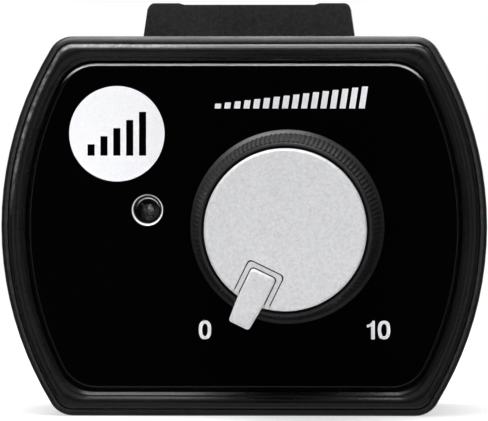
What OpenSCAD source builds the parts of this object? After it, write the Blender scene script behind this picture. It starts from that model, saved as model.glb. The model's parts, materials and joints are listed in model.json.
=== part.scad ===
// Wired remote level control: a bowed two-part shell on an under-dash clip, with a rotary
// potentiometer, its knob, an indicator LED and a modular socket at the back.
// Millimetres. X runs to the right as seen from the front, Y runs back, Z runs up.

/* [Shell] */
// Width of the shell across the middle of its bowed sides
shell_w = 51; // [48:0.5:60]
// Height of the shell between its flat top and bottom
shell_h = 39.85; // [38:0.05:46]
// Depth of the shell, from the front of the frame to the back
shell_depth = 25.4; // [25:0.1:34]
// Radius of the bowed sides
side_r = 35.8; // [34:0.1:60]
// Radius of the shell's four corners
corner_r = 2.7; // [2.4:0.1:4]
// Wall of the rear shell
wall = 2; // [1.8:0.1:2.4]
// Radius that rounds the rear shell into its back
back_round = 3; // [1.5:0.1:3.5]

/* [Frame] */
// Width of the rear shell's rim that shows round the frame
rim_w = 0.7; // [0.5:0.05:0.9]
// How far the rim lies behind the front of the frame
rim_step = 0.9; // [0.5:0.05:1.2]
// Depth of the rebate that the frame sits in
rebate_depth = 2; // [1.5:0.1:3]
// Width of the frame's face, from its side to the lip of the recess
frame_w = 1.45; // [1.2:0.05:1.8]
// Fall of the frame's face towards the lip
frame_fall = 0.22; // [0.2:0.02:0.7]
// Radius of the shoulder round the frame's face
shoulder_r = 0.72; // [0.5:0.02:0.8]
// Width of the flat land beside the lip
land_w = 0.16; // [0.08:0.02:0.3]
// Width of the slope inside the lip
lip_w = 0.3; // [0.15:0.05:0.45]
// Radius of the recess's corners
recess_corner_r = 4; // [3:0.1:5]
// Depth of the recess that takes the face panel
recess_depth = 2.2; // [1.8:0.05:2.6]
// Thickness of the floor behind the recess
floor_t = 1.5; // [1.2:0.1:2]

/* [Face panel] */
// Gap between the frame and the panel
panel_gap = 0.3; // [0.2:0.05:0.6]
// Thickness of the panel
panel_t = 1.4; // [1.2:0.05:1.6]
// Bevel round the panel's front edge
panel_bevel = 0.25; // [0.1:0.05:0.5]
// Thickness of the adhesive sheet behind the panel
tape_t = 0.15; // [0.1:0.01:0.25]

/* [Knob] */
// Distance of the knob's axis to the right of the shell's middle
knob_x = 4.6; // [2:0.1:5]
// Radius of the flange at the knob's foot
knob_foot_r = 10.15; // [10.05:0.05:10.5]
// Radius of the grip at the knob's foot
knob_grip_r = 9.85; // [9.7:0.05:9.9]
// Radius of the grip at the knob's front
knob_front_r = 8.95; // [8.85:0.05:9.3]
// Distance from the front of the frame to the front of the knob
knob_reach = 12.9; // [12:0.1:15]
// Thickness of the flange at the knob's foot
knob_foot_t = 0.7; // [0.5:0.1:1]
// Length of the smooth collar in front of the ribbed grip
knob_collar = 1.6; // [1.5:0.1:2.5]
// Number of ribs round the grip
knob_ribs = 120; // [60:1:140]
// Height of the ribs
knob_rib_h = 0.12; // [0.08:0.01:0.2]
// Thickness of the knob's wall behind the cap
knob_web = 1.5; // [1.2:0.1:2.5]
// Radius of the knob's hub
hub_r = 4.6; // [4.4:0.1:5]
// Angle of the pointer from straight down at each end of its turn
end_angle = 26; // [20:1:40]

/* [Cap and pointer] */
// Radius of the cap's disc
cap_r = 8.35; // [8:0.05:8.4]
// Gap between the disc and the knob
cap_gap = 0.25; // [0.1:0.05:0.3]
// Depth of the seat that the disc is let into
cap_seat = 1.2; // [0.9:0.1:1.5]
// Height of the disc's face above the knob's rim
cap_rise = 0.2; // [0:0.05:0.4]
// Width of the pointer
pointer_w = 2.75; // [2.2:0.05:3]
// Width of the pointer's nose at its outer end
nose_w = 2.35; // [1.8:0.05:2.7]
// Distance from the axis to the pointer's inner end
pointer_in = 4.95; // [4.8:0.05:6]
// Distance from the axis to the pointer's outer end
pointer_out = 10.9; // [10.6:0.05:12]
// Height of the pointer above the disc
pointer_rise = 0.25; // [0.1:0.05:0.5]
// Width of the round edge along the pointer
pointer_edge = 0.3; // [0.1:0.05:0.4]
// Depth of the pointer's nose over the knob's edge
nose_depth = 3.2; // [2:0.1:5]
// Width of the sunk band round the pointer
moat_w = 0.68; // [0.4:0.02:1]
// Depth of the sunk band
moat_depth = 0.1; // [0.05:0.01:0.3]
// Width of the fine grooves along both sides of the band
groove_w = 0.12; // [0.08:0.01:0.2]
// Depth of the fine grooves
groove_depth = 0.32; // [0.15:0.01:0.4]

/* [Potentiometer] */
// Radius of the shaft
shaft_r = 3; // [2.9:0.1:3]
// Depth of the flat on the shaft
flat_cut = 1.5; // [1:0.1:1.7]
// Length of the flat on the shaft
flat_length = 7; // [5:0.5:7.5]
// Outer radius of the threaded bushing
bushing_r = 3.5; // [3.4:0.05:3.7]
// Height of the bushing in front of the panel
bushing_rise = 2.95; // [2.8:0.05:3.2]
// Thickness of the nut
nut_t = 2; // [1.6:0.1:2.1]
// Width of the nut across its flats
nut_w = 10; // [9:0.5:11]
// Thickness of the washer
washer_t = 0.5; // [0.3:0.1:0.6]
// Radius of the potentiometer's case
pot_r = 8.2; // [8:0.1:8.6]
// Thickness of the metal plate on the case
plate_t = 0.8; // [0.6:0.1:1]
// Length of the moulded case
pot_case_l = 4.4; // [4:0.1:5]
// Thickness of the terminal base
pot_base_t = 1.2; // [1:0.1:1.6]
// Distance between neighbouring pins
pin_pitch = 5; // [4:0.5:5.5]

/* [Indicator] */
// Distance of the LED to the left of the shell's middle
led_x = 10.1; // [9:0.1:12]
// Height of the LED above the shell's middle
led_z = 1.7; // [0:0.1:4]
// Radius of the LED's dome
led_r = 1.5; // [1.4:0.05:1.6]
// Radius of the panel's window for the LED, at its face
window_r = 1.64; // [1.5:0.02:1.8]
// Width of the bevel round the window
window_bevel = 0.3; // [0.1:0.05:0.35]

/* [Board and socket] */
// Gap between the circuit board and the columns of the shell's screws
board_gap = 0.3; // [0.2:0.05:0.8]
// Height of the circuit board
board_h = 29; // [27:0.5:31]
// Thickness of the circuit board
board_t = 1.6; // [1:0.1:1.8]
// Width of the modular socket's housing
jack_w = 13.2; // [12:0.1:14]
// Height of the modular socket's housing
jack_h = 13.4; // [12.4:0.1:14]
// Width of the plug's way in
plug_w = 9.8; // [9.6:0.05:10]
// Height of the plug's way in
plug_h = 6.8; // [6.6:0.05:7]
// Distance of the socket below the shell's middle
jack_drop = 3; // [2:0.5:5]

/* [Screws] */
// Distance of the shell's screws inside its bowed sides
screw_inset = 4.85; // [4.8:0.05:5.2]
// Distance of the shell's screws from its top and bottom
screw_top = 6.9; // [6.8:0.1:7.8]
// Length of the screw posts behind the front shell's floor
post_l = 6; // [5:0.5:7]
// Length of the rear shell's columns between the posts and the screws' heads
column_l = 3; // [2:0.5:4]
// Radius of the screws' shank
screw_r = 1; // [0.9:0.05:1.1]
// Radius of the screws' head
screw_head_r = 2; // [1.8:0.1:2.1]

/* [Clip] */
// Distance of the clip to the right of the shell's middle
clip_x = 0.35; // [0:0.05:1]
// Width of the clip at its foot
clip_w = 22.4; // [22.2:0.1:24]
// Width of the clip at its top
clip_top_w = 21.4; // [20.8:0.1:22]
// Height of the clip's top above the shell
clip_h = 3.4; // [3.2:0.05:4]
// Length of the clip
clip_l = 15; // [13:0.5:15.2]
// Thickness of the wall in front of the clip
stop_t = 1.8; // [1.2:0.1:2.5]
// Distance from the front of the frame to the clip
clip_y = 10; // [6:0.5:10]
// Radius of the top corners of the clip and of the wall in front of it
clip_corner_r = 0.7; // [0.3:0.05:0.9]
// Rise of the clip's seats above its top
seat_rise = 0.2; // [0.1:0.01:0.3]
// Width of the seats at the clip's two sides
seat_w = 3.2; // [2.5:0.1:3.6]
// Distance between the clip's two screw holes
clip_pitch = 8; // [7:0.5:8.5]
// Radius of the clip's screw holes
clip_hole_r = 1.6; // [1.4:0.05:1.8]
// Running clearance between the clip and the shell's rails
slide_gap = 0.1; // [0.08:0.01:0.15]

/* [Hidden] */
$fn = 96;

// Shared clearances
over = 0.5;        // how far a cut runs past the face that it opens
fit = 0.05;        // radial clearance round turning and fastening parts
loose = 0.1;       // clearance of parts that are dropped in

// Depths, counted back from the front of the frame
seat_y = rim_step + rebate_depth;
floor_y = recess_depth;
floor_back = recess_depth + floor_t;
panel_y = recess_depth - tape_t - panel_t;
case_y = floor_back + plate_t;
base_y = case_y + pot_case_l;
leg_t = 0.4;
board_y = base_y + pot_base_t + leg_t;
board_back = board_y + board_t;
wall_back = shell_depth - wall;

// Outline of the bowed shell
side_c = shell_w / 2 - side_r;
side_steps = 20;
corner_steps = 6;
round_steps = 4;
rim_round = 0.7;
back_steps = 6;
frame_inset = rim_w + loose;
bezel_steps = 3;
recess_inset = frame_inset + frame_w + lip_w;
panel_inset = recess_inset + panel_gap;

// Screws
screw_z = shell_h / 2 - screw_top;
screw_x = side_c + sqrt((side_r - screw_inset) ^ 2 - screw_z ^ 2);
post_r = 2.2;
column_r = 2.7;
post_end = floor_back + post_l;
screw_seat = post_end + column_l;
screw_tip = floor_back + 1;
screw_head_t = 1.6;
board_w = 2 * (screw_x - column_r - board_gap);

// Knob
knob_foot_y = -0.35;
knob_front_y = -knob_reach;
cap_floor_y = knob_front_y + cap_seat;
cap_face_y = knob_front_y - cap_rise;
pointer_face_y = cap_face_y - pointer_rise;
hollow_r = knob_front_r - 1.2;
hollow_y = cap_floor_y + knob_web;
bushing_tip_y = panel_y - bushing_rise;
hub_y = bushing_tip_y - 0.3;
washer_y = panel_y - washer_t;
nut_y = washer_y - nut_t;
shaft_tip_y = hollow_y + 0.1;
flat_x = shaft_r - flat_cut;
spring_t = 0.3;
spring_w = 3.2;

// Potentiometer
collar_t = 0.6;
rotor_y = case_y + 0.1 + collar_t;
rotor_t = 2;
rotor_r = 5.6;
lug_r = pot_r - 1.2;
cavity_r = lug_r + 0.2;
journal_r = 1.6;
hub_seat_r = 2;
stop_half = end_angle / 2;
pin_z = pot_r + 1.6;
tab_w = 2.8;
tab_h = 1.2;
tab_z = -pot_r + 1.4;
pin_w = 0.8;
pin_t = 0.4;
terminal_t = 0.3;

// Indicator
window_bore = window_r - window_bevel;
dome_r = min(window_bore - fit, led_r);
led_tip_y = panel_y + panel_t - led_r + sqrt(led_r ^ 2 - dome_r ^ 2);
led_flange_y = led_tip_y + 4.3;
led_flange_t = 1;
led_flange_r = led_r + 0.4;
lead_pitch = 2.54;
lead_w = 0.5;

// Socket
jack_y = board_back;
jack_back = shell_depth - 0.2;
plug_depth = 11.4;
latch_w = 6.2;
latch_h = 2.4;
contact_pitch = 1.27;

// Clip and rails
top_z = shell_h / 2;
rail_in = 5.4;
rail_stem = 1.2;
rail_foot = 1.1;
rail_t = 1;
rail_out = 8.5;
rail_end = shell_depth - 1.4;
clip_front = clip_y + slide_gap;
clip_mid = clip_front + clip_l / 2;
clip_lean = (clip_w - clip_top_w) / (2 * clip_h);
seat_ramp = 0.7;
lip_top = rail_foot - slide_gap;
roof = rail_foot + rail_t + slide_gap;
clip_z = top_z + clip_h;

// ---- Helpers ----

function arc_point(x, z, r, a) = [x + r * cos(a), z + r * sin(a)];

// Points of the shell's outline, drawn in by inset, anticlockwise as seen from the front
function outline(inset, corner) =
    let (r = side_r - inset,
        zf = shell_h / 2 - inset - corner,
        xf = side_c + sqrt((r - corner) ^ 2 - zf ^ 2),
        a = atan2(zf, xf - side_c))
    concat(
        [for (i = [0:side_steps]) arc_point(side_c, 0, r, a * (2 * i / side_steps - 1))],
        [for (i = [1:corner_steps]) arc_point(xf, zf, corner, a + (90 - a) * i / corner_steps)],
        [for (i = [0:corner_steps - 1]) arc_point(-xf, zf, corner, 90 + (90 - a) * i / corner_steps)],
        [for (i = [0:side_steps]) arc_point(-side_c, 0, r, 180 + a * (2 * i / side_steps - 1))],
        [for (i = [1:corner_steps]) arc_point(-xf, -zf, corner, 180 + a + (90 - a) * i / corner_steps)],
        [for (i = [0:corner_steps - 1]) arc_point(xf, -zf, corner, 270 + (90 - a) * i / corner_steps)]);

// The shell's corner radius, drawn in by inset
function corner_at(inset) = max(corner_r - inset, 0.8);

// Skin through outlines given as [y, inset, corner], from front to back. A closed one joins its last
// outline to its first, so its outer side runs back and its inner side runs forward.
module loft(rings, closed = false) {
    n = len(outline(rings[0][1], rings[0][2]));
    m = len(rings);
    points = [for (ring = rings) for (p = outline(ring[1], ring[2])) [p.x, ring[0], p.y]];
    sides = [for (i = [0:m - (closed ? 1 : 2)]) for (j = [0:n - 1])
        let (k = (i + 1) % m, l = (j + 1) % n) [i * n + j, i * n + l, k * n + l, k * n + j]];
    caps = closed ? [] : [[for (j = [n - 1:-1:0]) j], [for (j = [0:n - 1]) (m - 1) * n + j]];
    polyhedron(points, concat(sides, caps), convexity = 4);
}

// Extrude a flat shape, drawn in X and Z, from y0 back to y1
module slab(y0, y1) {
    translate([0, y1, 0]) rotate([90, 0, 0]) linear_extrude(y1 - y0) children();
}

// Extrude the shell's outline from y0 back to y1
module plate(y0, y1, inset, corner) {
    slab(y0, y1) polygon(outline(inset, corner));
}

// Round bar along Y
module rod(r, y0, y1) {
    translate([0, y0, 0]) rotate([-90, 0, 0]) cylinder(r = r, h = y1 - y0);
}

// Turned shape whose profile is drawn as [radius, y]
module turned(profile) {
    rotate([-90, 0, 0]) rotate_extrude() polygon(profile);
}

// Block between two corners
module block(low, high) {
    translate(low) cube(high - low);
}

// Block with round corners along Y
module rounded(w, h, r, y0, y1) {
    union() {
        block([-w / 2 + r, y0, -h / 2], [w / 2 - r, y1, h / 2]);
        block([-w / 2, y0, -h / 2 + r], [w / 2, y1, h / 2 - r]);
        for (x = [-1, 1], z = [-1, 1])
            translate([x * (w / 2 - r), 0, z * (h / 2 - r)]) rod(r, y0, y1);
    }
}

module both_sides() {
    children();
    mirror([1, 0, 0]) children();
}

// Places of the four shell screws
module at_screw(i) {
    translate([screw_x * (i % 2 == 0 ? -1 : 1), 0, screw_z * (i < 2 ? 1 : -1)]) children();
}

module at_screws() {
    for (i = [0:3]) at_screw(i) children();
}

module at_led() {
    translate([-led_x, 0, led_z]) children();
}

module at_pot() {
    translate([knob_x, 0, 0]) children();
}

// The knob's own frame, with its pointer up, turned to the low end of its travel
module at_knob() {
    at_pot() rotate([0, end_angle - 180, 0]) children();
}

module at_clip() {
    translate([clip_x, 0, top_z]) children();
}

// The whole part hangs from the clip's top, midway between its two screw holes
module in_frame() {
    translate([-clip_x, -clip_mid, -clip_z]) children();
}

// ---- Shell ----

// Ring of the frame's face, at a distance from its side
function frame_ring(across, y) =
    let (side_corner = corner_at(frame_inset))
    [y, frame_inset + across, side_corner + (recess_corner_r - side_corner) * across / frame_w];

// Rings from the frame's lip out to its side: a flat land, a hollow bezel that rises from it, and a
// round shoulder
function frame_face() =
    let (bezel_w = frame_w - land_w - shoulder_r)
    concat(
        [frame_ring(frame_w, frame_fall)],
        [for (i = [bezel_steps:-1:1]) let (u = i / bezel_steps)
            frame_ring(shoulder_r + u * bezel_w, u ^ 2.2 * frame_fall)],
        [for (i = [0:round_steps]) let (a = 90 * i / round_steps)
            frame_ring(shoulder_r * (1 - sin(a)), shoulder_r * (1 - cos(a)))]);

module front_shell() {
    color("#1b1b1d") in_frame() difference() {
        union() {
            loft(concat(frame_face(), [
                [seat_y, frame_inset, corner_at(frame_inset)],
                [seat_y, recess_inset, recess_corner_r],
                [frame_fall + 1.2 * lip_w, recess_inset, recess_corner_r]]), closed = true);
            plate(floor_y, floor_back, wall + loose, corner_at(wall));
            front_skirt();
            at_screws() rod(post_r, floor_y + floor_t / 2, post_end);
            at_led() rod(led_flange_r, floor_y + floor_t / 2, led_flange_y);
        }
        at_screws() rod(screw_r + fit, screw_tip, post_end + over);
        at_pot() rod(bushing_r + loose, 0, floor_back + over);
        at_pot() translate([0, 0, tab_z])
            rounded(tab_w + 2 * loose, tab_h + 2 * loose, 0.4, 0, floor_back + over);
        at_led() rod(led_r + fit, 0, led_flange_y + over);
    }
}

// Wall behind the floor that finds the rear shell, open beside the screw posts
module front_skirt() {
    skirt_t = 1;
    skirt_back = floor_back + 1.8;
    difference() {
        plate(floor_y + floor_t / 2, skirt_back, wall + loose, corner_at(wall));
        plate(floor_y, skirt_back + over, wall + loose + skirt_t, corner_at(wall));
        at_screws() rod(column_r + 1.2, floor_back, skirt_back + over);
    }
}

module rear_shell() {
    back = shell_depth;
    color("#232326") in_frame() union() {
        difference() {
            loft(concat(
                [for (i = [0:round_steps]) let (a = 90 * i / round_steps, in = (rim_w - loose) * (1 - sin(a)))
                    [rim_step + rim_round * (1 - cos(a)), in, corner_at(in)]],
                [for (i = [0:back_steps]) let (a = 90 * i / back_steps)
                    [back - back_round * (1 - sin(a)), back_round * (1 - cos(a)), corner_r]]));
            plate(rim_step - over, seat_y, rim_w, corner_at(rim_w));
            shell_cavity();
            jack_window();
            at_screws() rod(screw_head_r + 0.2, screw_seat, back + over);
        }
        rear_columns();
        board_ribs();
        top_rails();
    }
}

module shell_cavity() {
    loft([
        [seat_y - over, wall, corner_at(wall)],
        [wall_back - back_round * 0.5, wall, corner_at(wall)],
        [wall_back, wall + back_round * 0.5, corner_at(wall)]]);
}

module jack_window() {
    translate([0, 0, -jack_drop])
        block([-jack_w / 2 - loose, jack_y, -jack_h / 2 - loose],
            [jack_w / 2 + loose, shell_depth + over, jack_h / 2 + loose]);
}

// Columns that carry the screws' heads, let into the back
module rear_columns() {
    at_screws() difference() {
        rod(column_r, post_end + loose, shell_depth - 1);
        rod(screw_r + 2 * fit, post_end, screw_seat + over);
        rod(screw_head_r + 0.2, screw_seat, shell_depth);
    }
}

// Two ribs on the side walls that hold the board against the potentiometer
module board_ribs() {
    rib_t = 1.4;
    both_sides()
        block([board_w / 2 - 1, board_back, -rib_t / 2],
            [shell_w / 2 - wall / 2, wall_back + wall / 2, rib_t / 2]);
}

// Two outward rails, and the wall that the clip slides up to
module top_rails() {
    sunk = wall / 2;
    at_clip() {
        both_sides() {
            block([rail_in, clip_y - stop_t / 2, -sunk],
                [rail_in + rail_stem, rail_end, rail_foot + rail_t]);
            block([rail_in, clip_y - stop_t / 2, rail_foot], [rail_out, rail_end, rail_foot + rail_t]);
        }
        slab(clip_y - stop_t, clip_y) clip_outline(-sunk, clip_h);
    }
}

// Half the clip's width at a height above the shell
function clip_side(z) = clip_w / 2 - clip_lean * z;

// Sloping sides with round top corners, between two heights above the shell
module clip_outline(low, high) {
    r = clip_corner_r;
    shoulder = clip_side(high - r);
    polygon([[-clip_side(low), low], [clip_side(low), low], [shoulder, high - r],
        [shoulder - r, high], [r - shoulder, high], [-shoulder, high - r]]);
    for (s = [-1, 1]) translate([s * (shoulder - r), high - r]) circle(r);
}

// ---- Face ----

module face_panel() {
    color("#050506") in_frame() difference() {
        loft([
            [panel_y, panel_inset + panel_bevel, recess_corner_r - panel_bevel],
            [panel_y + panel_bevel, panel_inset, recess_corner_r],
            [panel_y + panel_t, panel_inset, recess_corner_r]]);
        at_pot() rod(bushing_r + loose, panel_y - over, floor_y);
        at_led() turned([[0, panel_y - over], [window_r + over, panel_y - over],
            [window_bore, panel_y + window_bevel], [window_bore, floor_y], [0, floor_y]]);
    }
}

module panel_tape() {
    margin = 0.6;
    color("#3a3a3c") in_frame() difference() {
        plate(panel_y + panel_t, floor_y, panel_inset + margin, recess_corner_r - margin);
        at_pot() rod(bushing_r + margin, panel_y, floor_y + over);
        at_led() rod(window_r + margin, panel_y, floor_y + over);
    }
}

// ---- Knob ----

module knob_body() {
    grip_y = knob_foot_y - knob_foot_t;
    collar_y = knob_front_y + knob_collar;
    color("#1c1c1e") in_frame() at_knob() difference() {
        union() {
            turned([[0, knob_front_y], [knob_front_r - 0.25, knob_front_y],
                [knob_front_r - 0.07, knob_front_y + 0.07], [knob_front_r, knob_front_y + 0.25],
                [knob_front_r, collar_y + 0.2], [knob_grip_r - 0.3, grip_y - 0.4],
                [knob_foot_r - 0.12, grip_y], [knob_foot_r, grip_y + 0.15],
                [knob_foot_r, knob_foot_y], [0, knob_foot_y]]);
            ribbed_grip(grip_y - 0.1, collar_y);
        }
        knob_hollow();
        rod(cap_r + cap_gap, knob_front_y - over, cap_floor_y);
        block([-pointer_w / 2 - loose, knob_front_y - over, cap_r - 1],
            [pointer_w / 2 + loose, pointer_face_y + nose_depth + loose, knob_foot_r + over]);
        knob_bore();
    }
}

// Fine straight ribs that follow the grip's taper
module ribbed_grip(y0, y1) {
    step = 180 / knob_ribs;
    front_scale = (knob_front_r + knob_rib_h) / knob_grip_r;
    outline_points = [for (i = [0:2 * knob_ribs - 1])
        arc_point(0, 0, knob_grip_r - (i % 2) * knob_rib_h, i * step)];
    translate([0, y0, 0]) rotate([90, 0, 0])
        linear_extrude(y0 - y1, scale = front_scale) polygon(outline_points);
}

// Space under the knob that clears the nut, round a hub
module knob_hollow() {
    difference() {
        rod(hollow_r, hollow_y, knob_foot_y + over);
        rod(hub_r, hollow_y - over, hub_y);
    }
}

module knob_bore() {
    keyed_y = shaft_tip_y + flat_length;
    difference() {
        rod(shaft_r + fit, shaft_tip_y, hub_y + over);
        block([-shaft_r - over, shaft_tip_y - over, flat_x + spring_t + fit],
            [shaft_r + over, keyed_y, shaft_r + over]);
    }
}

module knob_cap() {
    edge = 0.35;
    color("#c9cacc") in_frame() at_knob() union() {
        difference() {
            turned(concat([[0, cap_floor_y], [0, cap_face_y]],
                [for (i = [0:round_steps]) let (a = 90 * i / round_steps)
                    [cap_r - edge * (1 - sin(a)), cap_face_y + edge * (1 - cos(a))]],
                [[cap_r, cap_floor_y]]));
            pointer_moat();
        }
        pointer();
    }
}

// Sunk band round the pointer, open at the disc's edge, with a fine groove along each side
module pointer_moat() {
    half = pointer_w / 2;
    front = cap_face_y - over;
    slab(front, cap_face_y + moat_depth) tongue(half + moat_w, pointer_in - moat_w);
    slab(front, cap_face_y + groove_depth) difference() {
        tongue(half + moat_w, pointer_in - moat_w);
        tongue(half + moat_w - groove_w, pointer_in - moat_w + groove_w);
    }
    slab(front, cap_face_y + groove_depth) tongue(half + groove_w, pointer_in - groove_w);
}

// Tongue from a round-cornered inner end out past the disc, where it flares, drawn in X and Z
module tongue(half, low) {
    r = 0.45;
    mouth = sqrt(cap_r ^ 2 - half ^ 2);
    translate([-half, low + r]) square([2 * half, knob_foot_r - low]);
    translate([-half + r, low]) square([2 * (half - r), 2 * r]);
    for (s = [-1, 1]) {
        translate([s * (half - r), low + r]) circle(r);
        difference() {
            translate([s * (half + r / 2), mouth - r / 2]) square(r, center = true);
            translate([s * (half + r), mouth - r]) circle(r);
        }
    }
}

// Half outline of the pointer, drawn in by inset: its inner corner, the bend where its nose
// starts to taper, and its outer corner
function pointer_half(inset) =
    let (r = 0.35, half = pointer_w / 2 - inset, tip = nose_w / 2 - inset,
        low = pointer_in + inset + r, high = pointer_out - inset - r)
    concat([for (i = [0:round_steps]) arc_point(half - r, low, r, 90 * i / round_steps - 90)],
        [[half, cap_r]],
        [for (i = [0:round_steps]) arc_point(tip - r, high, r, 90 * i / round_steps)]);

module pointer() {
    nose_y = pointer_face_y + nose_depth;
    steps = [for (i = [0:round_steps]) let (a = 90 * i / round_steps)
        [pointer_face_y + pointer_edge * (1 - cos(a)), pointer_edge * (1 - sin(a))]];
    rings = concat(steps, [[nose_y, 0]]);
    n = 2 * len(pointer_half(0));
    m = len(rings);
    points = [for (ring = rings) let (half = pointer_half(ring[1]))
        each concat([for (p = half) [p.x, ring[0], p.y]],
            [for (i = [len(half) - 1:-1:0]) [-half[i].x, ring[0], half[i].y]])];
    sides = [for (i = [0:m - 2]) for (j = [0:n - 1]) let (l = (j + 1) % n)
        [i * n + j, i * n + l, (i + 1) * n + l, (i + 1) * n + j]];
    difference() {
        polyhedron(points, concat(sides, [[for (j = [n - 1:-1:0]) j], [for (j = [0:n - 1]) (m - 1) * n + j]]));
        block([-pointer_w, cap_floor_y, 0], [pointer_w, nose_y + over, cap_r - 0.7]);
        translate([0, nose_y, pointer_out]) rotate([30, 0, 0])
            cube([pointer_w + over, 2.2, 1.6], center = true);
    }
}

// Steel leaf between the hub and the shaft's flat
module knob_spring() {
    color("#9a9da1") in_frame() at_knob()
        block([-spring_w / 2, shaft_tip_y + 0.3, flat_x + fit / 2],
            [spring_w / 2, shaft_tip_y + flat_length - 0.3, flat_x + fit / 2 + spring_t]);
}

// ---- Potentiometer ----

module pot_shaft() {
    color("#b5b7ba") in_frame() at_knob() difference() {
        turned([[0, shaft_tip_y + loose], [shaft_r - 0.5, shaft_tip_y + loose],
            [shaft_r, shaft_tip_y + loose + 0.5], [shaft_r, case_y + 0.1],
            [shaft_r + 1, case_y + 0.1], [shaft_r + 1, rotor_y], [hub_seat_r, rotor_y],
            [hub_seat_r, rotor_y + rotor_t], [journal_r, rotor_y + rotor_t],
            [journal_r, base_y + 0.8], [0, base_y + 0.8]]);
        block([-shaft_r - over, shaft_tip_y - over, flat_x],
            [shaft_r + over, shaft_tip_y + flat_length, shaft_r + over]);
    }
}

// Wedge of a ring, centred on straight up
module ring_part(r0, r1, half_angle, y0, y1) {
    reach = 2 * r1;
    intersection() {
        difference() {
            rod(r1, y0, y1);
            rod(r0, y0 - over, y1 + over);
        }
        slab(y0 - over, y1 + over) polygon([[0, 0],
            [-reach * sin(half_angle), reach * cos(half_angle)],
            [reach * sin(half_angle), reach * cos(half_angle)]]);
    }
}

module pot_rotor() {
    stop_gap = 0.5;
    color("#d8d4c4") in_frame() at_knob() difference() {
        union() {
            rod(rotor_r, rotor_y, rotor_y + rotor_t);
            ring_part(rotor_r - 1, lug_r, stop_half - stop_gap, rotor_y, rotor_y + rotor_t);
        }
        rod(hub_seat_r + fit / 2, rotor_y - over, rotor_y + rotor_t + over);
    }
}

// Sprung fingers that run on the track
module pot_wiper() {
    sheet = 0.2;
    y0 = rotor_y + rotor_t;
    y1 = base_y - 0.05;
    color("#c9a24b") in_frame() at_knob() union() {
        difference() {
            rod(rotor_r - 1, y0, y0 + sheet);
            rod(hub_seat_r + fit, y0 - over, y1);
        }
        for (x = [2.4, 3.6]) translate([x, 0, 0])
            rotate([90, 0, 90]) linear_extrude(0.7, center = true)
                polygon([[y0, -0.6], [y0 + sheet, -0.6], [y1, 3.2], [y0 + sheet, 4.4],
                    [y0 + sheet - 0.1, 4.2], [y1 - sheet, 3.1], [y0, 0]]);
    }
}

module pot_outline(r, top) {
    union() {
        circle(r);
        translate([-r, 0]) square([2 * r, top]);
    }
}

// Metal plate with its threaded bushing, locating tab and four folded legs
module pot_bushing() {
    leg_w = 2.4;
    leg_x = pot_r + leg_t / 2 + fit;
    color("#b9babd") in_frame() at_pot() difference() {
        union() {
            slab(floor_back, case_y) pot_outline(pot_r, pot_r);
            turned([[0, bushing_tip_y], [bushing_r - 0.3, bushing_tip_y],
                [bushing_r, bushing_tip_y + 0.3], [bushing_r, floor_back + 0.1], [0, floor_back + 0.1]]);
            translate([0, 0, tab_z]) rounded(tab_w, tab_h, 0.3, floor_back - 1.2, floor_back + 0.1);
            both_sides() for (z = [1.2, 5.4]) {
                block([pot_r - 1, floor_back, z], [leg_x + leg_t / 2, case_y, z + leg_w]);
                block([leg_x - leg_t / 2, floor_back, z], [leg_x + leg_t / 2, board_y, z + leg_w]);
                block([pot_r - 1.6, board_y - leg_t, z], [leg_x + leg_t / 2, board_y, z + leg_w]);
            }
        }
        rod(shaft_r + fit, bushing_tip_y - over, case_y + over);
    }
}

module pot_case() {
    front_t = 0.3;
    color("#2c2c30") in_frame() at_pot() union() {
        difference() {
            slab(case_y, base_y) pot_outline(pot_r, pot_r);
            rod(cavity_r, case_y + front_t, base_y + over);
            rod(shaft_r + 1 + loose, case_y - over, base_y);
        }
        rotate([0, 180, 0])
            ring_part(rotor_r + 0.1, cavity_r + 0.3, stop_half, case_y, base_y);
    }
}

module pot_base() {
    color("#6b4a24") in_frame() at_pot() difference() {
        slab(base_y, base_y + pot_base_t) pot_outline(pot_r, pin_z - pin_t / 2);
        rod(journal_r + fit, base_y - over, base_y + pot_base_t + over);
    }
}

// Terminal on the base's front, with its leg through the board
module pot_pin(i) {
    x = knob_x + (i - 1) * pin_pitch;
    color("#c7c8ca") in_frame() translate([x, 0, pin_z]) union() {
        block([-pin_w / 2 - 0.4, base_y - terminal_t, pot_r + loose - pin_z],
            [pin_w / 2 + 0.4, base_y, pin_t / 2]);
        block([-pin_w / 2, base_y - terminal_t, -pin_t / 2],
            [pin_w / 2, board_back + 0.9, pin_t / 2]);
    }
}

module pot_washer() {
    color("#aeb0b3") in_frame() at_pot() difference() {
        rod(nut_w / 2 + 0.6, washer_y, panel_y);
        rod(bushing_r + loose, washer_y - over, panel_y + over);
    }
}

module pot_nut() {
    color("#c2a45a") in_frame() at_pot() difference() {
        slab(nut_y, washer_y) circle(d = nut_w / cos(30), $fn = 6);
        rod(bushing_r + fit, nut_y - over, washer_y + over);
    }
}

// ---- Board ----

module circuit_board() {
    pad_gap = 0.15;
    color("#1f5b35") in_frame() difference() {
        rounded(board_w, board_h, 1, board_y, board_back);
        for (i = [0:2]) translate([knob_x + (i - 1) * pin_pitch, 0, pin_z])
            rod(pin_w / 2 + pad_gap, board_y - over, board_back + over);
        for (s = [-1, 1]) at_led() translate([s * lead_pitch / 2, 0, 0])
            rod(lead_w / 2 + 2 * pad_gap, board_y - over, board_back + over);
    }
}

// Surface-mounted resistor for the LED
module resistor(i) {
    body = [3.2, 0.6, 1.6];
    above = 7 + i * 3;
    color("#17171a") in_frame() translate([-led_x - body.x / 2, board_y - body.y, above])
        cube(body);
}

module capacitor() {
    r = 2;
    color("#32343c") in_frame() translate([-led_x + 1, 0, -8]) turned([
        [0, board_y - 4.5], [r - 0.3, board_y - 4.5], [r, board_y - 4.2], [r, board_y - 1.2],
        [r - 0.3, board_y - 0.9], [r, board_y - 0.6], [r, board_y], [0, board_y]]);
}

// ---- Indicator ----

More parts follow.
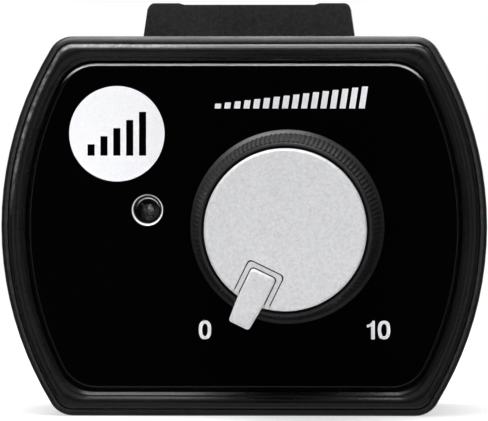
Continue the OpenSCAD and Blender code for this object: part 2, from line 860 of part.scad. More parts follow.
module led_lens() {
    n = 8;
    dome = [for (i = [0:n]) [led_r * sin(90 * i / n), led_tip_y + led_r * (1 - cos(90 * i / n))]];
    color("#cfd3d6") in_frame() at_led() turned(concat(dome,
        [[led_r, led_flange_y], [led_flange_r, led_flange_y],
            [led_flange_r, led_flange_y + led_flange_t], [0, led_flange_y + led_flange_t]]));
}

module led_lead(i) {
    color("#c7c8ca") in_frame() at_led() translate([(i - 0.5) * lead_pitch, 0, 0])
        block([-lead_w / 2, led_flange_y + led_flange_t, -lead_w / 2],
            [lead_w / 2, board_back + 0.9, lead_w / 2]);
}

// ---- Socket ----

module at_jack() {
    translate([0, 0, -jack_drop]) children();
}

module jack_housing() {
    mouth = jack_back - plug_depth;
    color("#19191b") in_frame() at_jack() difference() {
        block([-jack_w / 2, jack_y, -jack_h / 2], [jack_w / 2, jack_back, jack_h / 2]);
        block([-plug_w / 2, mouth, -plug_h / 2], [plug_w / 2, jack_back + over, plug_h / 2]);
        block([-latch_w / 2, mouth + 3, -plug_h / 2 - latch_h], [latch_w / 2, jack_back + over, 0]);
        for (i = [0:3]) translate([(i - 1.5) * contact_pitch, 0, 0])
            block([-0.35, mouth, plug_h / 2 - 0.1], [0.35, jack_back - 1.5, plug_h / 2 + 1.2]);
    }
}

// Gold spring wire that slants down into the plug's way in
module jack_contact(i) {
    wire = 0.4;
    top = plug_h / 2 + 0.9;
    back = jack_back - 2;
    color("#d9b24c") in_frame() at_jack() translate([(i - 1.5) * contact_pitch, 0, 0])
        rotate([90, 0, 90]) linear_extrude(wire, center = true) polygon([
            [back - 7.5, top - 2.6], [back - 7.3, top - 2.9], [back, top - wire * 0.6],
            [back, top], [back - 1, top]]);
}

// ---- Screws ----

module screw(i) {
    recess = 0.9;
    color("#3b3c40") in_frame() at_screw(i) difference() {
        union() {
            rod(screw_r, screw_tip + 0.3, screw_seat + 0.1);
            turned([[0, screw_seat], [screw_head_r, screw_seat], [screw_head_r, screw_seat + 0.9],
                [screw_head_r - 0.6, screw_seat + screw_head_t], [0, screw_seat + screw_head_t]]);
        }
        for (a = [0, 90]) rotate([0, a, 0])
            block([-1.1, screw_seat + screw_head_t - recess, -0.25], [1.1, screw_seat + 2 * screw_head_t, 0.25]);
    }
}

// ---- Clip ----

module mounting_clip() {
    sink_r = 2.9;
    sink_h = 1.15;
    spine = 1.2;
    color("#2b2b2e") in_frame() at_clip() difference() {
        slab(clip_front, clip_front + clip_l) clip_section(spine);
        for (s = [-1, 1]) translate([0, clip_mid + s * clip_pitch / 2, 0]) {
            cylinder(r = clip_hole_r, h = clip_h + over);
            translate([0, 0, spine - 0.01])
                cylinder(r1 = sink_r, r2 = clip_hole_r, h = sink_h);
        }
    }
}

// A channel whose lips reach under the rails, with a spine between them and a seat along each side
module clip_section(spine) {
    spine_w = rail_in - slide_gap;
    seat_top = clip_h + seat_rise;
    inner = clip_top_w / 2 - seat_w - seat_ramp;
    difference() {
        clip_outline(slide_gap, seat_top);
        translate([-rail_out - slide_gap, lip_top])
            square([2 * (rail_out + slide_gap), roof - lip_top]);
        translate([-rail_in - rail_stem - slide_gap, 0])
            square([2 * (rail_in + rail_stem + slide_gap), lip_top + 0.1]);
        polygon([[-inner, clip_h], [inner, clip_h], [inner + seat_ramp, seat_top],
            [inner + seat_ramp, seat_top + over], [-inner - seat_ramp, seat_top + over],
            [-inner - seat_ramp, seat_top]]);
    }
    translate([-spine_w, spine]) square([2 * spine_w, roof - spine + 0.1]);
}

front_shell();
rear_shell();
face_panel();
panel_tape();
knob_body();
knob_cap();
knob_spring();
pot_shaft();
pot_rotor();
pot_wiper();
pot_bushing();
pot_case();
pot_base();
for (i = [0:2]) pot_pin(i);
pot_washer();
pot_nut();
circuit_board();
for (i = [0:1]) resistor(i);
capacitor();
led_lens();
for (i = [0:1]) led_lead(i);
jack_housing();
for (i = [0:3]) jack_contact(i);
for (i = [0:3]) screw(i);
mounting_clip();
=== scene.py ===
"""Looks of a wired rotary level control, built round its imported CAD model.

Metres, in the model's own frame: X to the right as seen from the front, Y to the back, Z up.
Sizes are written in millimetres and multiplied by MM. Greys and colours are linear, from 0 to 1.
"""

import json
import math

import bmesh
import bpy
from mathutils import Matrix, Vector


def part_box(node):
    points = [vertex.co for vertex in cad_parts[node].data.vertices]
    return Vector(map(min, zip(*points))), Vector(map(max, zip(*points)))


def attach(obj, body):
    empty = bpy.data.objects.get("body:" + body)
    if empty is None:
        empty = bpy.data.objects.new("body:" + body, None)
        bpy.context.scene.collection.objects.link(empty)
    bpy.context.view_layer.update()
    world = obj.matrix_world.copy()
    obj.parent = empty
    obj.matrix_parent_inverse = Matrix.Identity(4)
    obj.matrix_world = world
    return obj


MM = 0.001

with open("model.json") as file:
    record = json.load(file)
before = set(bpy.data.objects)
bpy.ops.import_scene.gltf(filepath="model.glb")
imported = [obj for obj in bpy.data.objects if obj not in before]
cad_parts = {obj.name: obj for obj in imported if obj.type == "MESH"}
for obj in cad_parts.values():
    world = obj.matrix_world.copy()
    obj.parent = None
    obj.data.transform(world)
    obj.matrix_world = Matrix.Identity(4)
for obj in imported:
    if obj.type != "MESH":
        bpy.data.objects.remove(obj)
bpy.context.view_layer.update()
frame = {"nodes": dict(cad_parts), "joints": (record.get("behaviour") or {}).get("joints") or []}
cad = frame["nodes"]


# ---- Places, from the frame ----

def middle(node):
    """Centre of a CAD node's box."""
    low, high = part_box(node)
    return (low + high) / 2


shell_low, shell_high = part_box("front_shell")
shell_mid = (shell_low + shell_high) / 2
panel_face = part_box("face_panel")[0].y
led = middle("led_lens")
knob_axis = Vector(next(j["pos_m"] for j in frame["joints"] if j["name"] == "knob_turn"))
floor_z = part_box("rear_shell")[0].z


# ---- Node helpers ----

class Shader:
    """A material under construction, with short calls for the nodes that it needs."""

    def __init__(self, name):
        self.material = bpy.data.materials.new(name)
        self.material.use_nodes = True
        self.tree = self.material.node_tree
        self.tree.nodes.clear()
        self.out = self.tree.nodes.new("ShaderNodeOutputMaterial")
        self.surface = self.tree.nodes.new("ShaderNodeBsdfPrincipled")
        self.link(self.surface.outputs[0], self.out.inputs["Surface"])
        self.place = self.tree.nodes.new("ShaderNodeTexCoord")

    def link(self, source, target):
        self.tree.links.new(source, target)

    def set(self, **values):
        """Set sockets of the surface shader, with spaces written as underscores."""
        for key, value in values.items():
            self.surface.inputs[key.replace("_", " ")].default_value = value

    def colour(self, value):
        self.link(value, self.surface.inputs["Base Color"])

    def rough(self, value):
        self.link(value, self.surface.inputs["Roughness"])

    def noise(self, size, detail=3.0, roughness=0.55, stretch=None):
        """Noise whose features are about size millimetres across."""
        node = self.tree.nodes.new("ShaderNodeTexNoise")
        node.inputs["Scale"].default_value = 1 / (size * MM)
        node.inputs["Detail"].default_value = detail
        node.inputs["Roughness"].default_value = roughness
        coordinates = self.place.outputs["Object"]
        if stretch:
            mapping = self.tree.nodes.new("ShaderNodeMapping")
            mapping.inputs["Scale"].default_value = stretch
            self.link(coordinates, mapping.inputs["Vector"])
            coordinates = mapping.outputs["Vector"]
        self.link(coordinates, node.inputs["Vector"])
        return node.outputs["Fac"]

    def cells(self, size, feature="Color"):
        """Cells about size millimetres across: their random colour, or the distance from their middle."""
        node = self.tree.nodes.new("ShaderNodeTexVoronoi")
        node.inputs["Scale"].default_value = 1 / (size * MM)
        self.link(self.place.outputs["Object"], node.inputs["Vector"])
        return node.outputs[feature]

    def spread(self, value, low, high, start=0.3, end=0.7):
        """Map value from start..end, which suits noise as it stands, to low..high."""
        node = self.tree.nodes.new("ShaderNodeMapRange")
        for socket, number in zip(("From Min", "From Max", "To Min", "To Max"),
                                  (start, end, low, high)):
            node.inputs[socket].default_value = number
        self.link(value, node.inputs["Value"])
        return node.outputs["Result"]

    def blend(self, factor, first, second):
        """Mix two colours, from the first at factor 0 to the second at factor 1."""
        node = self.tree.nodes.new("ShaderNodeMix")
        node.data_type = "RGBA"
        for socket, color in ((node.inputs["A"], first), (node.inputs["B"], second)):
            if isinstance(color, tuple):
                socket.default_value = (*color, 1)
            else:
                self.link(color, socket)
        self.link(factor, node.inputs["Factor"])
        return node.outputs["Result"]

    def bump(self, height, depth, strength=1.0, under=None):
        """Bump of depth millimetres, over the bump given as under."""
        node = self.tree.nodes.new("ShaderNodeBump")
        node.inputs["Distance"].default_value = depth * MM
        node.inputs["Strength"].default_value = strength
        self.link(height, node.inputs["Height"])
        if under:
            self.link(under, node.inputs["Normal"])
        self.link(node.outputs["Normal"], self.surface.inputs["Normal"])
        return node.outputs["Normal"]

    def vector(self, operation, first, second=None):
        """Vector maths on a socket, with a second socket or a plain vector."""
        node = self.tree.nodes.new("ShaderNodeVectorMath")
        node.operation = operation
        self.link(first, node.inputs[0])
        if isinstance(second, bpy.types.NodeSocket):
            self.link(second, node.inputs[1])
        elif second is not None:
            node.inputs[1].default_value = second
        return node.outputs["Value" if operation in ("LENGTH", "DOT_PRODUCT") else "Vector"]

    def multiply(self, first, second):
        node = self.tree.nodes.new("ShaderNodeMath")
        node.operation = "MULTIPLY"
        self.link(first, node.inputs[0])
        self.link(second, node.inputs[1])
        return node.outputs[0]

    def along(self, output, axis, start, end):
        """0 up to start and 1 from end along an axis, for the place (Object) or the Normal."""
        split = self.tree.nodes.new("ShaderNodeSeparateXYZ")
        self.link(self.place.outputs[output], split.inputs[0])
        return self.spread(split.outputs[axis], 0, 1, start, end)

    def across(self, point):
        """Offset from a point, flattened to the plane of the face."""
        offset = self.vector("SUBTRACT", self.place.outputs["Object"], point)
        return self.vector("MULTIPLY", offset, (1, 0, 1))

    def beyond(self, point, start, end):
        """0 up to start and 1 from end, in millimetres from the axis along Y through a point."""
        return self.spread(self.vector("LENGTH", self.across(point)), 0, 1, start * MM, end * MM)

    def within(self, point, start, end):
        """1 up to start and 0 from end, in millimetres from the axis along Y through a point."""
        return self.spread(self.vector("LENGTH", self.across(point)), 1, 0, start * MM, end * MM)


def grey(level):
    """Neutral grey, a little cooler than even."""
    return (level, level, level * 1.03)


def dimmed(color, share):
    return tuple(channel * share for channel in color)


# ---- Materials ----

# Y of the normal of a surface that looks to the front, and of one that has turned away from it.
LOOKS_FRONT = -0.97
TURNED_AWAY = -0.85
BEVEL_TURNED = -0.80


def painted_shoulder_highlight(s):
    """Share of a painted highlight on the round shoulder of the frame, patchy and only at the top left,
    where it stands in for light falling from the upper left.
    """
    offset = s.across(shell_mid)
    outward = s.vector("DOT_PRODUCT", s.vector("NORMALIZE", offset), s.place.outputs["Normal"])
    shoulder = s.multiply(s.spread(outward, 0, 1, start=0.3, end=0.5),
                          s.spread(outward, 1, 0, start=0.75, end=0.9))
    to_top_left = s.vector("DOT_PRODUCT", offset, (-0.8, 0, 1))
    top_left_share = s.spread(to_top_left, 0, 1, start=20.5 * MM, end=27 * MM)
    patches = s.spread(s.noise(0.8, detail=4, roughness=0.6), 0.25, 1, start=0.4, end=0.6)
    return s.multiply(patches, s.multiply(shoulder, top_left_share))


def moulded_black(name, level, roughness=0.5, grain=0.28, depth=0.012, shoulder_highlight_grey=None, face=None):
    """Black ABS: spark-eroded grain and slow waves of gloss, with grain and depth in millimetres.
    The next two arguments give the grey of a painted highlight on the shoulder at the top left, and the
    level of the walls that look to the front, painted lighter than the turned sides as painted light."""
    s = Shader(name)
    fine = s.noise(grain, detail=4)

    def grained(shade):
        return s.blend(s.spread(fine, 0, 1), grey(shade * 0.55), grey(shade * 1.45))

    base = grained(level)
    # Walls that look to the front are painted lighter than the turned sides: painted light and shade.
    if face:
        base = s.blend(s.along("Normal", "Y", LOOKS_FRONT, TURNED_AWAY), grained(face), base)
    # Painted highlight on the shoulder at the top left.
    if shoulder_highlight_grey:
        base = s.blend(painted_shoulder_highlight(s), base, grey(shoulder_highlight_grey))
    s.colour(base)
    s.rough(s.spread(s.noise(6), roughness - 0.06, roughness + 0.08))
    waves = s.bump(s.noise(4, detail=2), depth=0.02, strength=0.35)
    s.bump(fine, depth, strength=0.8, under=waves)
    s.set(Specular_IOR_Level=0.42)
    return s.material


def gloss_panel():
    """Clear plastic printed black behind: polished, with a few dust specks. Its bare cut edge is pale
    round most of the LED's window, painted thicker at the bottom as a painted highlight, and pale along
    the top only, where it faces up, as a painted highlight, and dark elsewhere as painted shade."""
    s = Shader("panel_gloss")
    dust = s.spread(s.cells(1.1, "Distance"), 1, 0, start=0.015, end=0.03)
    body = s.blend(dust, grey(0.0006), grey(0.01))
    # The window's pale ring is centred a little above the LED so that it is thicker at the bottom: a
    # painted highlight.
    painted_ring_centre = led + Vector((0.02, 0, 0.07)) * MM
    window = s.blend(s.beyond(painted_ring_centre, 1.48, 1.54), grey(0.02), grey(0.85))
    # The outer bare edge is pale only where it faces up and dark where it faces sideways or down: painted
    # highlight and shade.
    top_edge_painted_highlight = s.blend(s.along("Normal", "Z", start=0.42, end=0.62), grey(0.004), grey(0.95))
    edge = s.blend(s.beyond(led, 2.0, 2.2), window, top_edge_painted_highlight)
    s.colour(s.blend(s.along("Normal", "Y", LOOKS_FRONT, BEVEL_TURNED), body, edge))
    s.rough(s.spread(s.noise(5, detail=4), 0.035, 0.085))
    s.bump(s.noise(9, detail=2), depth=0.03, strength=0.05)
    s.set(IOR=1.49, Specular_IOR_Level=0.8)
    return s.material


def silver_paint():
    """Fine metal flake in a satin lacquer over moulded plastic. The floor of the grooves round the pointer
    is painted dark, as painted shade."""
    s = Shader("silver")
    flake = s.cells(0.085)
    soft = s.noise(0.35, detail=5, roughness=0.75)
    tone = s.blend(s.spread(flake, 0, 1, start=0, end=1), grey(0.47), grey(0.62))
    paint = s.blend(s.spread(soft, 0, 0.7, start=0.35, end=0.65), tone, grey(0.72))
    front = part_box("knob_cap")[0].y
    # Painted shade: the floor of the grooves round the pointer is coloured dark.
    painted_groove_shade = s.along("Object", "Y", start=front + 0.40 * MM, end=front + 0.46 * MM)
    disc = s.within(knob_axis, 7.9, 8.1)
    s.colour(s.blend(s.multiply(painted_groove_shade, disc), paint, grey(0.02)))
    s.rough(s.spread(s.noise(1.2, detail=4), 0.46, 0.56))
    orange_peel = s.bump(s.noise(0.5), depth=0.012, strength=0.35)
    s.bump(flake, depth=0.006, strength=0.5, under=orange_peel)
    s.set(Metallic=0.3, Coat_Weight=0.15, Coat_Roughness=0.25)
    return s.material


def ribbed_black():
    """Satin black plastic of the knob."""
    s = Shader("knob_black")
    fine = s.noise(0.1, detail=4)
    s.colour(s.blend(s.spread(fine, 0, 1), grey(0.004), grey(0.014)))
    s.rough(s.spread(s.noise(2.5), 0.36, 0.48))
    s.bump(fine, depth=0.012, strength=0.9)
    s.set(Specular_IOR_Level=0.5)
    return s.material


def metal(name, color, roughness):
    """Worked metal with fine lines left by the tool."""
    s = Shader(name)
    lines = s.noise(0.4, detail=4, roughness=0.6, stretch=(1, 12, 1))
    s.colour(s.blend(s.spread(lines, 0, 1), dimmed(color, 0.82), color))
    s.rough(s.spread(lines, roughness - 0.05, roughness + 0.08))
    s.bump(lines, depth=0.01, strength=0.3)
    s.set(Metallic=1.0)
    return s.material


def clear_epoxy():
    """Water-clear LED resin, with the slight waviness of a cast dome."""
    s = Shader("lens_epoxy")
    s.rough(s.spread(s.noise(0.9, detail=2), 0.01, 0.04))
    s.bump(s.noise(1.1, detail=2), depth=0.02, strength=0.25)
    s.set(Base_Color=(0.93, 0.95, 0.96, 1), Transmission_Weight=1.0, IOR=1.5)
    return s.material


def plain(name, color, roughness):
    """Plain moulding or laminate of a piece that sits inside."""
    s = Shader(name)
    fine = s.noise(0.5, detail=4)
    s.colour(s.blend(s.spread(fine, 0, 1), dimmed(color, 0.8), color))
    s.rough(s.spread(s.noise(3, detail=2), roughness - 0.05, roughness + 0.08))
    s.bump(fine, depth=0.01, strength=0.4)
    return s.material


def screen_ink():
    """White screen-printed ink: matt, with the mesh's faint unevenness."""
    s = Shader("print_white")
    s.colour(s.blend(s.spread(s.noise(0.12), 0, 1), grey(0.71), grey(0.81)))
    s.rough(s.spread(s.noise(0.5), 0.5, 0.7))
    s.bump(s.noise(0.1, detail=2), depth=0.004, strength=0.4)
    return s.material


def die_metal():
    """Plated lead frame round the LED's die: a cup painted dark as painted shade but for pale blotches at
    its lower right, a painted reflection, and a rim painted bright along the top as a painted highlight."""
    s = Shader("led_die_cup")
    # Pale blotches at the cup's lower right are a painted reflection; the rest of the cup is painted dark
    # as painted shade.
    blotch_noise = s.spread(s.noise(0.15, roughness=0.7), 0, 1, start=0.42, end=0.56)
    painted_reflection_patch = s.within(led + Vector((0.30, 0, -0.55)) * MM, 0.45, 0.85)
    cup = s.blend(s.multiply(blotch_noise, painted_reflection_patch), grey(0.01), grey(0.95))
    # The rim is bright only along the top: a painted highlight.
    rim_painted_highlight = s.beyond(led - Vector((0, 0, 2)) * MM, 2.3, 2.7)
    rim = s.blend(rim_painted_highlight, grey(0.02), grey(0.95))
    s.colour(s.blend(s.beyond(led, 0.74, 0.80), cup, rim))
    s.rough(s.spread(s.noise(0.3), 0.25, 0.45))
    s.bump(s.noise(0.15), depth=0.02, strength=0.5)
    s.set(Metallic=0.6)
    return s.material


pot_metal = metal("pot_metal", (0.62, 0.62, 0.64), 0.32)
tinned = metal("lead", (0.72, 0.72, 0.73), 0.3)

finishes = {
    # The front shell carries a painted highlight on its shoulder at the top left.
    "front_shell": moulded_black("shell_black", 0.005, 0.28, shoulder_highlight_grey=0.15),
    # The rear shell's front-looking walls are painted lighter than its sides, as painted light.
    "rear_shell": moulded_black("rear_black", 0.006, 0.42, face=0.022),
    "mounting_clip": moulded_black("clip_black", 0.022, 0.50, grain=0.30, depth=0.02),
    "face_panel": gloss_panel(),
    "panel_tape": plain("tape", (0.04, 0.04, 0.04), 0.8),
    "knob_body": ribbed_black(),
    "knob_cap": silver_paint(),
    "knob_spring": metal("spring_steel", (0.6, 0.6, 0.62), 0.3),
    "pot_shaft": metal("shaft_steel", (0.62, 0.62, 0.64), 0.25),
    "pot_rotor": plain("rotor", (0.7, 0.67, 0.6), 0.5),
    "pot_wiper": metal("wiper", (0.72, 0.55, 0.25), 0.3),
    "pot_bushing": pot_metal,
    "pot_washer": pot_metal,
    "pot_case": plain("pot_black", (0.03, 0.03, 0.033), 0.5),
    "pot_base": plain("pot_board", (0.2, 0.12, 0.05), 0.6),
    "pot_nut": metal("nut_brass", (0.72, 0.58, 0.3), 0.3),
    "circuit_board": plain("board_green", (0.03, 0.16, 0.07), 0.35),
    "capacitor": plain("capacitor", (0.05, 0.05, 0.07), 0.3),
    "led_lens": clear_epoxy(),
    "jack_housing": moulded_black("jack_black", 0.02, 0.4, grain=0.1, depth=0.004),
}

# Finishes of the pieces that are numbered, such as screw_1.
numbered_finishes = {
    "resistor": plain("chip", (0.02, 0.02, 0.022), 0.4),
    "jack_contact": metal("contact", (0.83, 0.62, 0.25), 0.22),
    "screw": metal("screw_steel", (0.12, 0.12, 0.13), 0.38),
    "led_lead": tinned,
    "pot_pin": tinned,
}

for name, obj in cad.items():
    finish = finishes.get(name) or numbered_finishes[name.rsplit("_", 1)[0]]
    obj.data.materials.clear()
    obj.data.materials.append(finish)


# ---- Edges and smooth shading of the CAD pieces ----

SMOOTH_ANGLE = math.radians(32)
BEVEL_ANGLE = math.radians(35)
WELD_GAP = 0.002 * MM
BEVEL_SEGMENTS = 3


def smoothing_group():
    """Geometry nodes that smooth the faces, and every edge flatter than SMOOTH_ANGLE."""
    tree = bpy.data.node_groups.new("smooth_by_angle", "GeometryNodeTree")
    tree.interface.new_socket("Geometry", in_out="INPUT", socket_type="NodeSocketGeometry")
    tree.interface.new_socket("Geometry", in_out="OUTPUT", socket_type="NodeSocketGeometry")
    start = tree.nodes.new("NodeGroupInput")
    end = tree.nodes.new("NodeGroupOutput")
    angle = tree.nodes.new("GeometryNodeInputMeshEdgeAngle")
    compare = tree.nodes.new("FunctionNodeCompare")
    compare.operation = "LESS_EQUAL"
    compare.inputs["B"].default_value = SMOOTH_ANGLE
    faces = tree.nodes.new("GeometryNodeSetShadeSmooth")
    faces.domain = "FACE"
    faces.inputs["Shade Smooth"].default_value = True
    edges = tree.nodes.new("GeometryNodeSetShadeSmooth")
    edges.domain = "EDGE"
    tree.links.new(start.outputs[0], faces.inputs["Geometry"])
    tree.links.new(faces.outputs[0], edges.inputs["Geometry"])
    tree.links.new(angle.outputs["Unsigned Angle"], compare.inputs["A"])
    tree.links.new(compare.outputs[0], edges.inputs["Shade Smooth"])
    tree.links.new(edges.outputs[0], end.inputs[0])
    return tree


smooth_tree = smoothing_group()


def finish_edges(obj, width):
    """Weld the faces, round the sharp edges by width millimetres and smooth the rest."""
    weld = obj.modifiers.new("weld", "WELD")
    weld.merge_threshold = WELD_GAP
    if width:
        bevel = obj.modifiers.new("bevel", "BEVEL")
        bevel.width = width * MM
        bevel.segments = BEVEL_SEGMENTS
        bevel.limit_method = "ANGLE"
        bevel.angle_limit = BEVEL_ANGLE
        bevel.use_clamp_overlap = True
        bevel.miter_outer = "MITER_ARC"
    obj.modifiers.new("smooth", "NODES").node_group = smooth_tree
    flats = obj.modifiers.new("flats", "WEIGHTED_NORMAL")
    flats.keep_sharp = True


# Millimetres, on the pieces whose edges show.
edge_widths = {
    "front_shell": 0.05, "rear_shell": 0.08, "face_panel": 0.18, "mounting_clip": 0.12,
    "knob_cap": 0.03, "jack_housing": 0.10, "pot_nut": 0.1,
}
for name, obj in cad.items():
    finish_edges(obj, edge_widths.get(name, 0.0))


# ---- New pieces ----

def mesh_from(bm, name):
    """Turn a bmesh into a mesh and free it."""
    mesh = bpy.data.meshes.new(name)
    bm.to_mesh(mesh)
    bm.free()
    return mesh


def show(name, data):
    """Put a mesh, a lamp or a camera in the scene."""
    obj = bpy.data.objects.new(name, data)
    bpy.context.scene.collection.objects.link(obj)
    return obj


def add_piece(name, mesh, body, material):
    """Add a mesh as a piece that rides on a body, with the material given."""
    obj = show(name, mesh)
    mesh.materials.append(material)
    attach(obj, body)
    return obj


INK_T = 0.015 * MM
ink = screen_ink()


def print_mark(name, x, z, loops):
    """Ink of INK_T on the panel inside closed loops, in millimetres about a point given from the
    shell's middle. A loop inside another one is left bare."""
    bm = bmesh.new()
    edges = []
    for loop in loops:
        ring = []
        for u, v in loop:
            place = (shell_mid.x + (x + u) * MM, panel_face - INK_T, shell_mid.z + (z + v) * MM)
            ring.append(bm.verts.new(place))
        edges += [bm.edges.new((ring[i - 1], ring[i])) for i in range(len(ring))]
    bmesh.ops.triangle_fill(bm, use_beauty=True, edges=edges, normal=(0, -1, 0))
    obj = add_piece(name, mesh_from(bm, name), "housing", ink)
    solid = obj.modifiers.new("thickness", "SOLIDIFY")
    solid.thickness = INK_T
    solid.offset = -1


def oval(width, height, power=2.0, steps=72):
    """Closed oval about the origin, squarer with a higher power."""
    points = []
    for i in range(steps):
        angle = 2 * math.pi * i / steps
        c, s = math.cos(angle), math.sin(angle)
        points.append((math.copysign(abs(c) ** (2 / power), c) * width / 2,
                       math.copysign(abs(s) ** (2 / power), s) * height / 2))
    return points


def box_loop(x0, z0, x1, z1, lean=0.0):
    """Closed rectangle between two corners, with its top moved right by lean."""
    return [(x0, z0), (x1, z0), (x1 + lean, z1), (x0 + lean, z1)]


def shifted(loop, x):
    return [(u + x, v) for u, v in loop]


def badge():
    """Round white badge with five rising bars left bare, where the panel has its mark."""
    diameter = 10.0
    bars, pitch, width = 5, 1.35, 0.75
    foot, shortest, step = -2.3, 1.2, 0.85
    loops = [oval(diameter, diameter, steps=96)]
    for i in range(bars):
        left = (i - (bars - 1) / 2) * pitch - width / 2
        loops.append(box_loop(left, foot, left + width, foot + shortest + step * i))
    print_mark("print_badge", -13.3, 9.7, loops)


def level_wedge():
    """Row of slanted bars that grow to the right, where the panel has its title."""
    length, height, bars = 16.1, 2.3, 16
    pitch = length / bars
    width = pitch * 0.62
    first_share, lean = 0.22, 0.35
    loops = []
    for i in range(bars):
        left = i * pitch - length / 2
        share = first_share + (1 - first_share) * i / (bars - 1)
        loops.append(box_loop(left, -height / 2, left + width, height * (share - 0.5), lean * share))
    print_mark("print_wedge", 5.0, 13.5, loops)


def numbers():
    """Plain 0 and 10 at the two ends of the knob's turn, where the panel has its end marks."""
    height, width, stroke = 1.95, 1.3, 0.36
    one_x, zero_x, baseline = -0.85, 0.5, -10.85
    zero = [oval(width, height, power=2.6),
            oval(width - 2 * stroke, height - 1.8 * stroke, power=2.4)]
    # Stem of the one, then its flag.
    top, stem = height / 2, stroke * 1.08
    one = [(0.0, -top), (stem, -top), (stem, top), (stem * 0.35, top), (stem * 0.1, top - 0.2),
           (-0.22, top - 0.38), (-0.44, top - 0.43), (-0.44, top - 0.72), (0.0, top - 0.58)]
    print_mark("print_0", -4.06, baseline, zero)
    ten = [shifted(one, one_x)] + [shifted(loop, zero_x) for loop in zero]
    print_mark("print_10", 14.2, baseline, ten)


badge()
level_wedge()
numbers()


def add_lathe(bm, axis, profile, steps):
    """Closed solid turned about an axis along Y, from (radius, Y) pairs in metres that start and end
    on the axis."""
    rings = []
    for r, y in profile:
        ring = []
        for k in range(steps if r else 1):
            angle = 2 * math.pi * k / steps
            place = (axis.x + r * math.cos(angle), y, axis.z + r * math.sin(angle))
            ring.append(bm.verts.new(place))
        rings.append(ring)
    for first, second in zip(rings, rings[1:]):
        for k in range(steps):
            n = (k + 1) % steps
            loop = (first[k % len(first)], first[n % len(first)],
                    second[n % len(second)], second[k % len(second)])
            bm.faces.new(list(dict.fromkeys(loop)))


def add_box(bm, low, high):
    """Box between two corners."""
    for v in bmesh.ops.create_cube(bm, size=1)["verts"]:
        v.co = Vector((low[i] + high[i]) / 2 + v.co[i] * (high[i] - low[i]) for i in range(3))


def led_inside():
    """Lead frame inside the dome: a cup with a round rim on its post, and the second post to the right."""
    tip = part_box("led_lens")[0].y
    rim, rim_r, rim_y, rim_steps = 0.86, 0.08, 1.6, 8
    floor_r, floor_y = 0.28, 2.3
    post_r, posts_end = 0.35, 4.9
    bead = []
    for k in range(rim_steps + 1):
        angle = math.pi * k / rim_steps
        bead.append((rim - rim_r * math.cos(angle), rim_y - rim_r * math.sin(angle)))
    profile = [(0.0, floor_y + 0.05), (floor_r, floor_y), *bead, (rim + rim_r, 2.5),
               (post_r, 3.0), (post_r, posts_end), (0.0, posts_end)]
    bm = bmesh.new()
    add_lathe(bm, led, [(r * MM, tip + y * MM) for r, y in profile], steps=48)
    add_box(bm, (led.x + 1.02 * MM, tip + 2.3 * MM, led.z - 0.75 * MM),
            (led.x + 1.30 * MM, tip + posts_end * MM, led.z - 0.15 * MM))
    bmesh.ops.recalc_face_normals(bm, faces=bm.faces)
    add_piece("led_frame", mesh_from(bm, "led_frame"), "housing", die_metal())


led_inside()


# ---- Studio ----

def aim(obj, place, target):
    """Put a lamp or a camera at a place, looking at a target."""
    obj.location = place
    obj.rotation_mode = "QUATERNION"
    obj.rotation_quaternion = (Vector(target) - Vector(place)).to_track_quat("-Z", "Y")


def softbox(name, place, size, power):
    """Area lamp of size metres and power watts that faces the object."""
    data = bpy.data.lights.new(name, "AREA")
    data.shape = "RECTANGLE"
    data.size, data.size_y = size
    data.energy = power
    aim(show(name, data), place, shell_mid)


softbox("top", (-0.05, 0.03, 0.50), (0.60, 0.34), 5.0)
softbox("key", (-0.09, -0.30, 0.48), (0.75, 0.16), 3.0)
softbox("fill_right", (0.32, -0.30, 0.42), (0.25, 0.20), 0.5)
softbox("back", (0.20, 0.55, 0.30), (0.50, 0.30), 2.0)


def studio_world():
    """White to the camera, and to gloss and glass that see what lies behind or below the object. The
    rest of the room is dark, with a ring of grey walls round the camera's dark place at the front and a
    faint grey behind."""
    world = bpy.data.worlds.new("studio")
    world.use_nodes = True
    tree = world.node_tree
    tree.nodes.clear()
    place = tree.nodes.new("ShaderNodeTexCoord")
    split = tree.nodes.new("ShaderNodeSeparateXYZ")
    tree.links.new(place.outputs["Generated"], split.inputs[0])

    def ramp(axis, start, end, low, high):
        """Smooth step from low to high between two places of the view's direction on an axis."""
        node = tree.nodes.new("ShaderNodeMapRange")
        node.interpolation_type = "SMOOTHSTEP"
        for socket, number in zip(("From Min", "From Max", "To Min", "To Max"),
                                  (start, end, low, high)):
            node.inputs[socket].default_value = number
        tree.links.new(split.outputs[axis], node.inputs["Value"])
        return node.outputs["Result"]

    def maths(operation, first, second, clamp=False):
        node = tree.nodes.new("ShaderNodeMath")
        node.operation = operation
        node.use_clamp = clamp
        tree.links.new(first, node.inputs[0])
        tree.links.new(second, node.inputs[1])
        return node.outputs[0]

    path = tree.nodes.new("ShaderNodeLightPath")
    behind = ramp("Y", 0.65, 0.98, low=0.0, high=1.0)
    below = ramp("Z", -0.9, -0.4, low=0.3, high=0.0)
    gloss = maths("ADD", path.outputs["Is Glossy Ray"], path.outputs["Is Transmission Ray"], True)
    seen = maths("MULTIPLY", gloss, maths("ADD", behind, below, True))
    shown = maths("ADD", path.outputs["Is Camera Ray"], seen, True)

    camera_side = ramp("Y", -0.975, -0.90, low=0.005, high=0.40)
    sides = ramp("Y", -0.75, -0.45, low=1.0, high=0.05)
    far_wall = ramp("Y", 0.2, 0.9, low=0.0, high=0.15)
    walls = maths("ADD", maths("MULTIPLY", camera_side, sides), far_wall)

    room = tree.nodes.new("ShaderNodeBackground")
    tree.links.new(walls, room.inputs["Strength"])
    white = tree.nodes.new("ShaderNodeBackground")
    white.inputs["Color"].default_value = (1, 1, 1, 1)
    mixer = tree.nodes.new("ShaderNodeMixShader")
    tree.links.new(shown, mixer.inputs[0])
    tree.links.new(room.outputs[0], mixer.inputs[1])
    tree.links.new(white.outputs[0], mixer.inputs[2])
    out = tree.nodes.new("ShaderNodeOutputWorld")
    tree.links.new(mixer.outputs[0], out.inputs["Surface"])
    bpy.context.scene.world = world


studio_world()


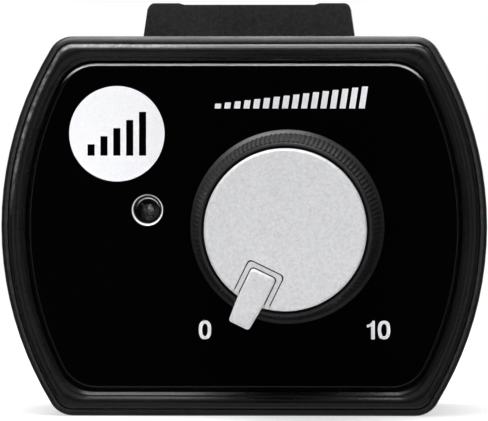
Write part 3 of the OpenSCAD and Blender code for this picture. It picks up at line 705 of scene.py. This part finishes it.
def studio_floor():
    """Pale disc under the object that keeps its shadow and fades into the white surround."""
    radius, steps = 0.30, 96
    fade_start, fade_end = 0.08, radius * 0.95
    glow_share = 0.62
    bm = bmesh.new()
    bmesh.ops.create_circle(bm, cap_ends=True, segments=steps, radius=radius)
    mesh = mesh_from(bm, "floor")
    obj = show("floor", mesh)
    obj.location = (0, 0, floor_z)
    obj.visible_glossy = False

    s = Shader("floor")
    s.set(Base_Color=(0.95, 0.95, 0.95, 1), Roughness=0.9, Specular_IOR_Level=0.0)
    clear = s.tree.nodes.new("ShaderNodeBsdfTransparent")
    glow = s.tree.nodes.new("ShaderNodeEmission")
    path = s.tree.nodes.new("ShaderNodeLightPath")
    pale = s.tree.nodes.new("ShaderNodeMixShader")
    fade = s.tree.nodes.new("ShaderNodeMixShader")
    s.link(s.spread(path.outputs["Is Camera Ray"], 0, glow_share, start=0, end=1), pale.inputs[0])
    s.link(s.surface.outputs[0], pale.inputs[1])
    s.link(glow.outputs[0], pale.inputs[2])
    out_from_middle = s.vector("LENGTH", s.place.outputs["Object"])
    s.link(s.spread(out_from_middle, 0, 1, fade_start, fade_end), fade.inputs[0])
    s.link(pale.outputs[0], fade.inputs[1])
    s.link(clear.outputs[0], fade.inputs[2])
    s.link(fade.outputs[0], s.out.inputs["Surface"])
    mesh.materials.append(s.material)


studio_floor()


# ---- Camera ----

AZIMUTH = math.radians(1.5)
ELEVATION = math.radians(1.3)
DISTANCE = 0.56
VIEW_W = 51.06 * MM
SENSOR_W = 36
# From the front shell's middle to the middle of the picture.
VIEW_RIGHT = 0.045 * MM
VIEW_UP = 1.68 * MM

target = Vector((shell_mid.x + VIEW_RIGHT, shell_low.y, shell_mid.z + VIEW_UP))
back = Vector((math.sin(AZIMUTH) * math.cos(ELEVATION), -math.cos(AZIMUTH) * math.cos(ELEVATION),
               math.sin(ELEVATION)))
camera_data = bpy.data.cameras.new("camera")
camera_data.sensor_width = SENSOR_W
camera_data.lens = SENSOR_W * DISTANCE / VIEW_W
camera_data.clip_start = 0.01
camera_data.clip_end = 10
camera = show("camera", camera_data)
aim(camera, target + back * DISTANCE, target)
bpy.context.scene.camera = camera
bpy.context.scene.view_settings.view_transform = "Standard"
